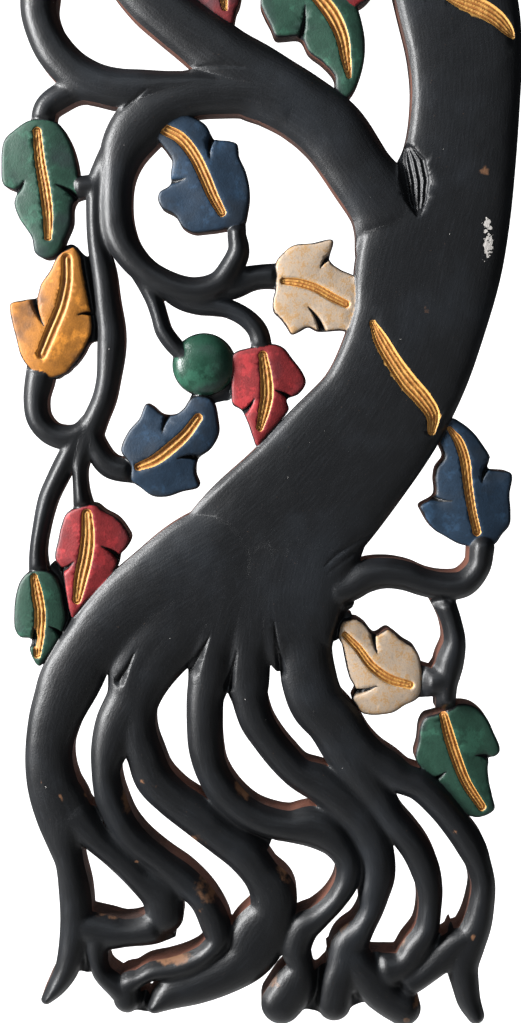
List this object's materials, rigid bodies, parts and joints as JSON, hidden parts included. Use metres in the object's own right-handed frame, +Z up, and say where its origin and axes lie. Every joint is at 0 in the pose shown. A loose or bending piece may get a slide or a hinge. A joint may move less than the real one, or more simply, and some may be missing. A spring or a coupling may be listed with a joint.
{
  "type": "carved openwork wooden wall panel",
  "caption": "Tall openwork wall panel carved from one flat-backed board: a leaning tree with ringed boughs, painted leaves, a ball fruit and interlaced roots.",
  "frame": {"origin": "on the flat back of the trunk, where the panel is fixed to a wall", "axes": "+Z up, +X to the viewer's right, front facing -Y, flat back in the plane Y = 0"},
  "size_m": [0.3507, 0.0248, 0.8688],
  "materials": {
    "black_stained_wood": "satin black stain over red-brown wood, with painted leaves and gold paint in the gouged veins"
  },
  "bodies": {
    "root": {"carved_panel": "black_stained_wood"}
  },
  "joints": []
}
